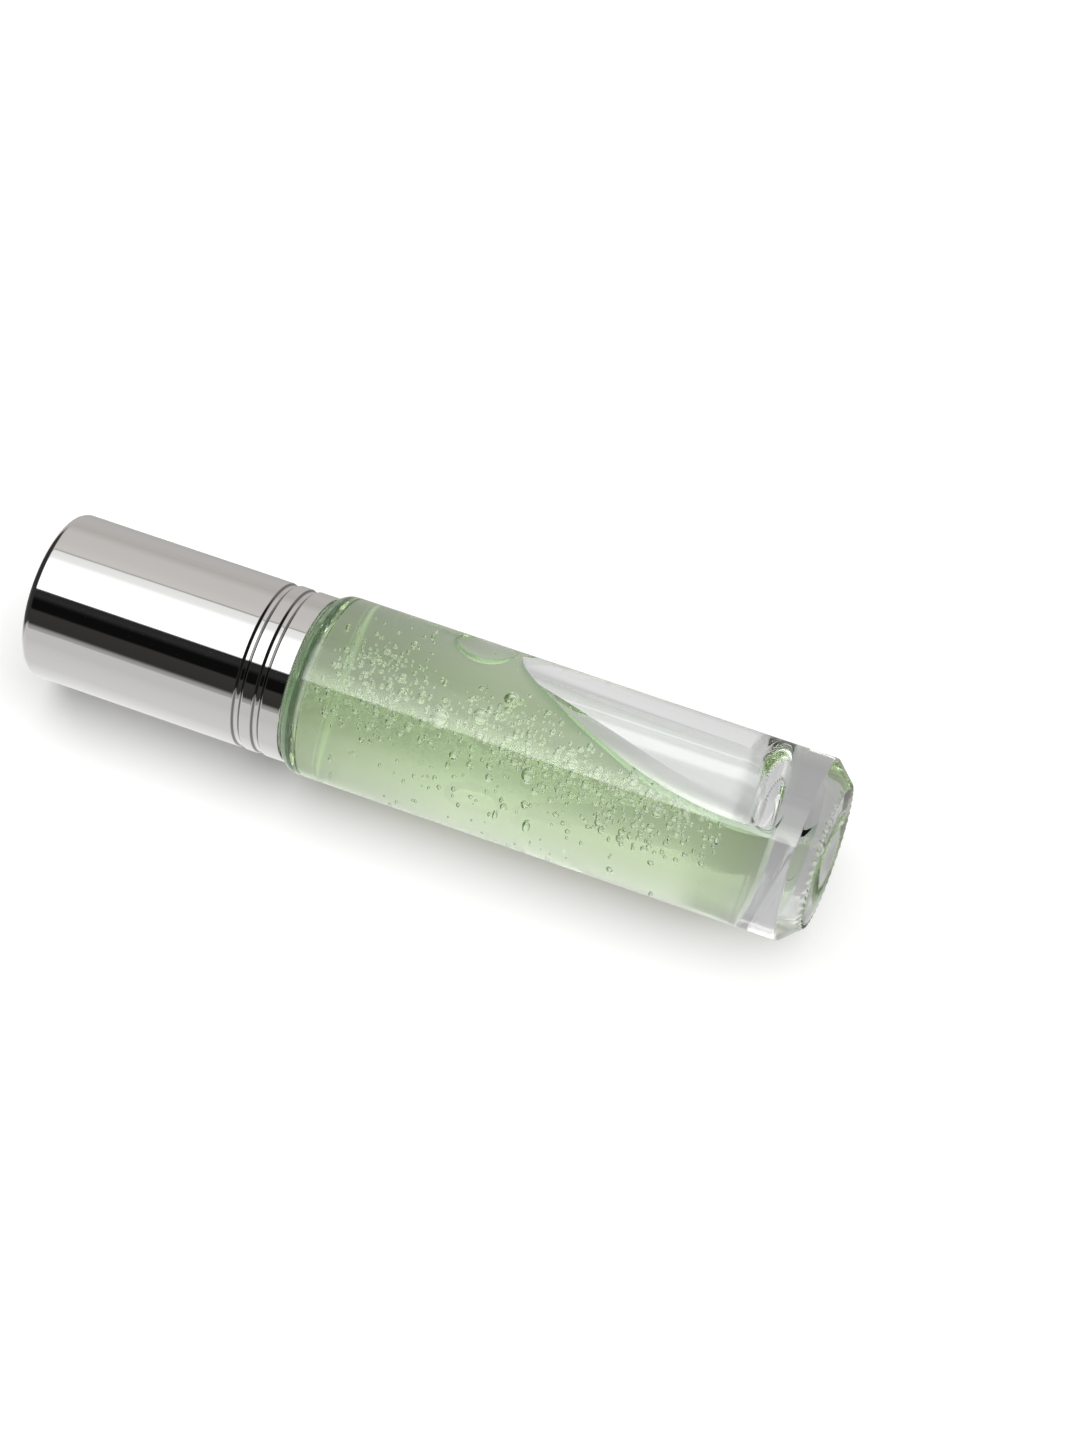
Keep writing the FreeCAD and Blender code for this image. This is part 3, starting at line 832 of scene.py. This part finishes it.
def shell_profile():
    """The cap's sheet metal from the middle of its roof inside, round the mouth, and over the top outside."""
    inner = CAP_RADIUS - SHELL_WALL
    ceiling = CAP_TOP - SHELL_WALL
    inner_round = CAP_ROUND - SHELL_WALL
    mouth_round = SHELL_WALL / 2
    start = CAP_MOUTH + mouth_round
    beaded = max(BEAD_HEIGHTS) + BEAD_MARGIN
    rows = int((beaded - CAP_MOUTH) / BEAD_ROW)
    heights = [start + (beaded - start) * i / rows for i in range(rows + 1)]
    outside = [(CAP_RADIUS - bead_dip(height), height) for height in heights]
    inside = [(inner - bead_dip(height), height) for height in reversed(heights)]
    return (
        [(0, ceiling)]
        + arc((inner - inner_round, ceiling - inner_round), inner_round, 90, 0, 6)
        + inside
        + arc((CAP_RADIUS - mouth_round, start), mouth_round, 180, 360, 8)[1:-1]
        + outside
        + arc((CAP_RADIUS - CAP_ROUND, CAP_TOP - CAP_ROUND), CAP_ROUND, 0, 90, 12)
        + [(0, CAP_TOP)]
    )


def make_cap_shell():
    bm = turned(shell_profile(), columns=CAP_COLUMNS)
    tidy(bm)
    # The steep flanks of the grooves get a mask for painted shade
    painted_flank_shade = bm.verts.layers.float.new("painted_flank_shade")
    for vert in bm.verts:
        radius, height, _ = upright(vert.co)
        if radius > CAP_RADIUS - BEAD_DEPTH - NEAR:
            slope = abs(bead_dip(height + BEAD_ROW / 2) - bead_dip(height - BEAD_ROW / 2)) / BEAD_ROW
            vert[painted_flank_shade] = smooth_step(slope, FLANK_GENTLE, FLANK_STEEP)
    to_piece(bm, "cap_sleeve", "cap", "cap_shell", [CAP_METAL])


make_glass_bottle()
make_gel_fill()
make_cap_shell()
for node, material in (
    ("roller_ball", BALL_STEEL),
    ("ball_housing", HOUSING_PLASTIC),
    ("cap_liner", LINER_PLASTIC),
    ("seal_pad", PAD_FOAM),
):
    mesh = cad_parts[node].data
    mesh.materials.clear()
    mesh.materials.append(material)


# Stage: table, light and camera


def grey(value, warmth=0.0):
    return (value * (1 + warmth), value, value * (1 - warmth), 1)


def by_ray(tree, plain, mirrored, seen_through):
    """Mixes three shaders by how the ray got here: straight or by diffuse light, by a mirror, or by glass."""
    path = tree.nodes.new("ShaderNodeLightPath")
    mirror = mix_shaders(tree, path.outputs["Is Glossy Ray"], plain, mirrored)
    return mix_shaders(tree, path.outputs["Is Transmission Ray"], mirror, seen_through)


FLOOR_RADIUS = 3.0
FLOOR_GLOW = 0.7
FLOOR_GLOW_START = 0.15
FLOOR_GLOW_FULL = 1.5

# The table across the bottle, as mirrors and glass show it: millimetres behind the bottle's axis, up to the
# depth on either side, and how bright it is there
TABLE_DEPTH = 50
# Painted reflection of the table, brightest just in front of the bottle's axis
TABLE_IN_MIRROR = (
    (-50, grey(0.53, 0.01)),
    (-15, grey(0.62, 0.01)),
    (-5, grey(0.88)),
    (0, grey(0.88)),
    (3, grey(0.40, 0.03)),
    (50, grey(0.46, 0.03)),
)
# Painted light and shade of the table through glass: darker a little behind the axis, with bright bands
# further behind
TABLE_IN_GLASS = (
    (-20, grey(0.80)),
    (1.2, grey(0.86)),
    (3.3, grey(0.75)),
    (4.3, grey(0.60)),
    (6.1, grey(0.49)),
    (8.4, grey(0.55)),
    (11, grey(0.68)),
    (12.8, grey(0.76)),
    (13.8, grey(1.0)),
    (15.8, grey(1.0)),
    (16.8, grey(0.76)),
    (19.2, grey(0.74)),
    (19.8, grey(1.0)),
    (20.4, grey(0.74)),
    (40, grey(0.76)),
)

# The table along the bottle, in millimetres from its middle towards the base: where a change starts and ends,
# and the brightness on both sides. Far along is how much further a place is along the bottle than across it
# These dim the table's painted light: dark far along in mirrors, and dimmer through glass under the base and
# towards the shoulder
FAR_ALONG = (48, 65, 1.0, 0.08)
UNDER_BASE = (31, 38, 1.0, 0.75)
UNDER_SHOULDER = (-9, 4, 0.74, 1.0)


def change_along(tree, value, change):
    """How a change along the bottle dims the table, from a length in metres."""
    low, high, start, end = change
    return spread(tree, value, low * MM, high * MM, start, end)


def glowing(tree, across, table, strength):
    """A table that glows as a list of places and colours across the bottle says, times a strength."""
    stops = [(0.5 + place / (2 * TABLE_DEPTH), colour) for place, colour in table]
    node = tree.nodes.new("ShaderNodeEmission")
    feed(tree, ramp_between(tree, across, stops), node.inputs["Color"])
    feed(tree, strength, node.inputs["Strength"])
    return node.outputs["Emission"]


def table_material():
    """White that glows a little far out, where light falls off, and by itself in mirrors and in glass."""
    material, tree = new_material("table_white")
    place = tree.nodes.new("ShaderNodeTexCoord").outputs["Object"]
    length = tree.nodes.new("ShaderNodeVectorMath")
    length.operation = "LENGTH"
    feed(tree, place, length.inputs[0])
    plain = principled(
        tree,
        Base_Color=(0.9, 0.9, 0.895, 1),
        Roughness=0.9,
        Specular_IOR_Level=0.0,
        Emission_Color=WHITE,
        Emission_Strength=spread(
            tree, length.outputs["Value"], FLOOR_GLOW_START, FLOOR_GLOW_FULL, 0.0, FLOOR_GLOW
        ),
    )
    x, y, _ = split(tree, place)
    across = spread(tree, y, -TABLE_DEPTH * MM, TABLE_DEPTH * MM)
    # The grooves of the cap mirror the table far out along the bottle, where its painted reflection is dark
    further = reckon(tree, "SUBTRACT", reckon(tree, "ABSOLUTE", x), reckon(tree, "ABSOLUTE", y))
    mirrored = glowing(tree, across, TABLE_IN_MIRROR, change_along(tree, further, FAR_ALONG))
    ends = reckon(tree, "MULTIPLY", change_along(tree, x, UNDER_BASE), change_along(tree, x, UNDER_SHOULDER))
    through = glowing(tree, across, TABLE_IN_GLASS, ends)
    put_out(tree, by_ray(tree, plain, mirrored, through))
    return material


def make_floor():
    bm = bmesh.new()
    bmesh.ops.create_circle(bm, cap_ends=True, segments=96, radius=FLOOR_RADIUS)
    mesh = bpy.data.meshes.new("table_top")
    bm.to_mesh(mesh)
    bm.free()
    mesh.materials.append(table_material())
    floor = bpy.data.objects.new("table_top", mesh)
    bpy.context.scene.collection.objects.link(floor)


KEY_HEIGHT = 2.0
KEY_LENGTH = 4.0
KEY_NEAR = math.radians(62)
KEY_FAR = math.radians(118)
KEY_POWER = 8.2


def make_key_light():
    """A ceiling light along the bottle, between two angles up from the camera's side of the table."""
    start = -KEY_HEIGHT / math.tan(KEY_NEAR)
    end = -KEY_HEIGHT / math.tan(KEY_FAR)
    lamp = bpy.data.lights.new("key_light", "AREA")
    lamp.shape = "RECTANGLE"
    lamp.size = KEY_LENGTH
    lamp.size_y = end - start
    lamp.energy = KEY_POWER * lamp.size * lamp.size_y
    holder = bpy.data.objects.new("key_light", lamp)
    holder.location = (0, (start + end) / 2, KEY_HEIGHT + AXIS_Z)
    holder.visible_glossy = False
    holder.visible_transmission = False
    bpy.context.scene.collection.objects.link(holder)


# The studio round the bottle: angles up from the camera's side of the table, in degrees, and how bright it is
DARK_SIDE = (
    (0, grey(0.35, 0.03)),
    (4, grey(0.28, 0.03)),
    (8, grey(0.03, 0.05)),
    (27, grey(0.035, 0.05)),
    (29, grey(0.004)),
    (42, grey(0.004)),
    (48, grey(0.025)),
    (56, grey(0.02)),
)
SOFT_SIDE = ((0, grey(0.30)), (50, grey(0.34)))
BRIGHT_BOX = ((57.5, grey(5.2)), (68, grey(4.4)), (80, grey(2.4)), (98, grey(2.0)))
MILD_BOX = ((57.5, grey(1.5)), (68, grey(1.5)), (80, grey(1.4)), (98, grey(1.3)))
BACK_WALL = (
    (106, grey(0.85)),
    (116, grey(0.80)),
    (117, grey(0.25, 0.02)),
    (119, grey(0.58, 0.03)),
    (135, grey(0.54, 0.03)),
    (155, grey(0.53, 0.03)),
    (170, grey(0.43, 0.04)),
    (180, grey(0.46, 0.04)),
)

# The studio as metal mirrors it, as glass mirrors it and as it is seen through glass, each with its end
# walls, which set in over a share of the way from straight across the bottle to straight along it
ROOMS = (
    (DARK_SIDE + MILD_BOX + BACK_WALL, grey(0.03, 0.02)),
    (DARK_SIDE + BRIGHT_BOX + BACK_WALL, grey(0.12, 0.02)),
    (SOFT_SIDE + BRIGHT_BOX + BACK_WALL, grey(0.38, 0.02)),
)
END_WALL_START = 0.55
END_WALL_FULL = 0.7
AMBIENT = grey(0.28)
BACKDROP = grey(0.97)


def background(tree, colour):
    node = tree.nodes.new("ShaderNodeBackground")
    feed(tree, colour, node.inputs["Color"])
    return node.outputs["Background"]


def make_world():
    """The studio as mirrors and glass see it: a softbox overhead, a dark front and a warm grey back."""
    world = bpy.data.worlds.new("studio")
    bpy.context.scene.world = world
    world.use_nodes = True
    tree = world.node_tree
    tree.nodes.clear()
    x, y, z = split(tree, tree.nodes.new("ShaderNodeTexCoord").outputs["Generated"])
    rise = reckon(tree, "ARCTAN2", z, reckon(tree, "MULTIPLY", y, -1.0))
    share = reckon(tree, "DIVIDE", rise, math.pi)
    at_end = spread(tree, reckon(tree, "ABSOLUTE", x), END_WALL_START, END_WALL_FULL)
    rooms = []
    for room, end_wall in ROOMS:
        stops = [(angle / 180, colour) for angle, colour in room]
        rooms.append(background(tree, mix_colours(tree, at_end, ramp_between(tree, share, stops), end_wall)))
    on_metal, on_glass, in_glass = rooms
    path = tree.nodes.new("ShaderNodeLightPath")
    plain = mix_shaders(
        tree, path.outputs["Is Camera Ray"], background(tree, AMBIENT), background(tree, BACKDROP)
    )
    mirrored = mix_shaders(tree, path.outputs["Is Singular Ray"], on_metal, on_glass)
    output = tree.nodes.new("ShaderNodeOutputWorld")
    tree.links.new(by_ray(tree, plain, mirrored, in_glass), output.inputs["Surface"])
    world.cycles.sampling_method = "NONE"


CAMERA_AZIMUTH = math.radians(22.134)
CAMERA_ELEVATION = math.radians(56.532)
CAMERA_DISTANCE = 0.3644
CAMERA_LENS = 85.3
CAMERA_CLIP = (0.01, 20.0)
AIM_RIGHT = 11.607 * MM
AIM_UP = -0.231 * MM


def make_camera():
    flat = math.cos(CAMERA_ELEVATION)
    back = Vector(
        (math.sin(CAMERA_AZIMUTH) * flat, -math.cos(CAMERA_AZIMUTH) * flat, math.sin(CAMERA_ELEVATION))
    )
    right = Vector((math.cos(CAMERA_AZIMUTH), math.sin(CAMERA_AZIMUTH), 0))
    up = back.cross(right)
    aim = Vector((0, 0, AXIS_Z)) + right * AIM_RIGHT + up * AIM_UP
    lens = bpy.data.cameras.new("photo_camera")
    lens.lens = CAMERA_LENS
    lens.clip_start, lens.clip_end = CAMERA_CLIP
    holder = bpy.data.objects.new("photo_camera", lens)
    holder.location = aim + back * CAMERA_DISTANCE
    holder.rotation_euler = back.to_track_quat("Z", "Y").to_euler()
    bpy.context.scene.collection.objects.link(holder)
    bpy.context.scene.camera = holder


make_floor()
make_key_light()
make_world()
make_camera()

# Light crosses many surfaces of the bottle. Few mirror bounces keep the rims of its bubbles dark
LIGHT_BOUNCES = 64
MIRROR_BOUNCES = 7
CLEAR_BOUNCES = 48

scene = bpy.context.scene
scene.view_settings.view_transform = "Standard"
scene.cycles.max_bounces = LIGHT_BOUNCES
scene.cycles.glossy_bounces = MIRROR_BOUNCES
scene.cycles.transmission_bounces = LIGHT_BOUNCES
scene.cycles.transparent_max_bounces = CLEAR_BOUNCES

bpy.context.view_layer.update()
